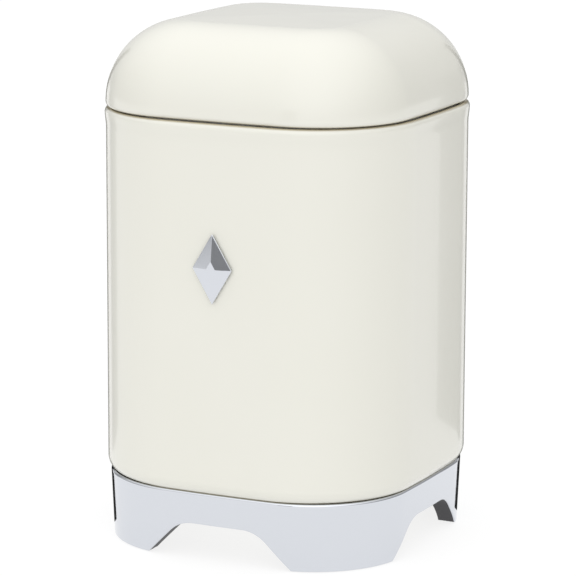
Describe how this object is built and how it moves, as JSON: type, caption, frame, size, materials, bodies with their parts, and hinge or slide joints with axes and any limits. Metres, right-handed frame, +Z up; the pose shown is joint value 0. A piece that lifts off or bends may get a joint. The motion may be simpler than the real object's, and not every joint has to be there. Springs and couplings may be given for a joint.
{
  "type": "kitchen storage tin",
  "caption": "Square kitchen storage tin with crowned sides, a domed lift-off lid with a sealing plug, a faceted badge and a bright plated plinth arched on every side.",
  "frame": {"origin": "on the tin's axis, at the level of the feet", "axes": "+Z up, -Y towards the front face that carries the badge, +X to the right seen from the front"},
  "size_m": [0.1108, 0.1125, 0.1749],
  "materials": {
    "cream_enamel": "gloss baked enamel over steel, warm cream",
    "plated_chrome": "bright chrome plating over moulded ABS",
    "compound": "dried grey sealing compound",
    "zinc_steel": "bright zinc plating",
    "foam_tape": "dark grey foam, matte",
    "plug_plastic": "natural moulded polypropylene, satin",
    "silicone": "milky silicone rubber, soft satin"
  },
  "bodies": {
    "tin": {"body_shell": "cream_enamel", "body_bottom": "cream_enamel", "seam_seal": "compound", "plinth": "plated_chrome", "weld_studs": "zinc_steel", "stud_washers": "zinc_steel", "stud_nuts": "zinc_steel", "badge": "plated_chrome", "badge_tape": "foam_tape"},
    "lid": {"lid_shell": "cream_enamel", "lid_plug": "plug_plastic", "lid_seal": "silicone"}
  },
  "joints": [
    {"name": "lid_lift", "type": "slide", "parent": "tin", "child": "lid", "axis": [0, 0, 1], "range_m": [0, 0.12]}
  ]
}
